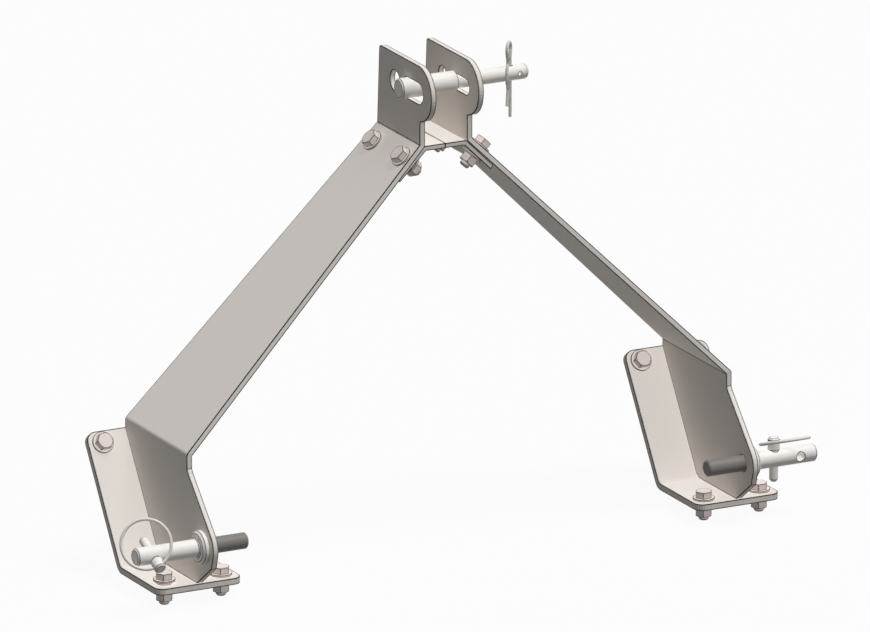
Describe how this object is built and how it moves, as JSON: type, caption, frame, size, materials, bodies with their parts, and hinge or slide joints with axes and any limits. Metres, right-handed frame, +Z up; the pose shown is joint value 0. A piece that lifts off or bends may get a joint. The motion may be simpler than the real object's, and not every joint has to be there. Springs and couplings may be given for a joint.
{
  "type": "fixed three-point linkage",
  "caption": "Fixed A-frame three-point linkage: bent plate arms, slotted top clevis with stepped pin and clip, lower hitch pins with linch pins, and bolted mount brackets.",
  "frame": {"origin": "midway between the two base plates, on their underside, on the line of the base bolts", "axes": "+X right across the linkage, -Y towards the tractor, +Z up"},
  "size_m": [0.9364, 0.2837, 0.6163],
  "materials": {
    "plate_steel": "matte light grey plate",
    "bolt_steel": "zinc plated",
    "pin_steel": "turned",
    "spring_steel": "drawn wire"
  },
  "bodies": {
    "frame": {"left_arm": "plate_steel", "right_arm": "plate_steel", "left_joining_bracket": "plate_steel", "right_joining_bracket": "plate_steel", "left_mount_bracket": "plate_steel", "right_mount_bracket": "plate_steel", "top_bolts": "bolt_steel", "top_washers": "bolt_steel", "top_nuts": "bolt_steel", "flange_bolts": "bolt_steel", "flange_washers": "bolt_steel", "flange_nuts": "bolt_steel", "base_bolts": "bolt_steel", "base_washers": "bolt_steel", "lock_washer": "bolt_steel", "base_nuts": "bolt_steel", "left_lower_pin": "pin_steel", "right_lower_pin": "pin_steel"},
    "top_pin": {"top_link_pin": "pin_steel"},
    "clip": {"retaining_clip": "spring_steel"},
    "left_linch": {"left_linch_pin": "pin_steel"},
    "left_ring": {"left_linch_ring": "spring_steel"},
    "right_linch": {"right_linch_pin": "pin_steel"},
    "right_ring": {"right_linch_ring": "spring_steel"}
  },
  "joints": [
    {"name": "top_pin_float", "type": "slide", "parent": "frame", "child": "top_pin", "axis": [0, -1, 0], "range_m": [0, 0.028]},
    {"name": "clip_swivel", "type": "hinge", "parent": "top_pin", "child": "clip", "pos_m": [0.1035, 0.0795, 0.5564], "axis": [0, 0, 1], "range_deg": [0, 80]},
    {"name": "left_linch_pull", "type": "slide", "parent": "frame", "child": "left_linch", "axis": [0, -0.8988, -0.4384], "range_m": [0, 0.045]},
    {"name": "left_ring_swing", "type": "hinge", "parent": "left_linch", "child": "left_ring", "pos_m": [-0.4371, -0.05298, 0.04963], "axis": [0.848, -0.2323, 0.4763], "range_deg": [0, 110]},
    {"name": "right_linch_pull", "type": "slide", "parent": "frame", "child": "right_linch", "axis": [0, 0, 1], "range_m": [0, 0.04]},
    {"name": "right_ring_swing", "type": "hinge", "parent": "right_linch", "child": "right_ring", "pos_m": [0.4051, -0.035, 0.0784], "axis": [1, 0, 0], "range_deg": [-165, 20]}
  ]
}
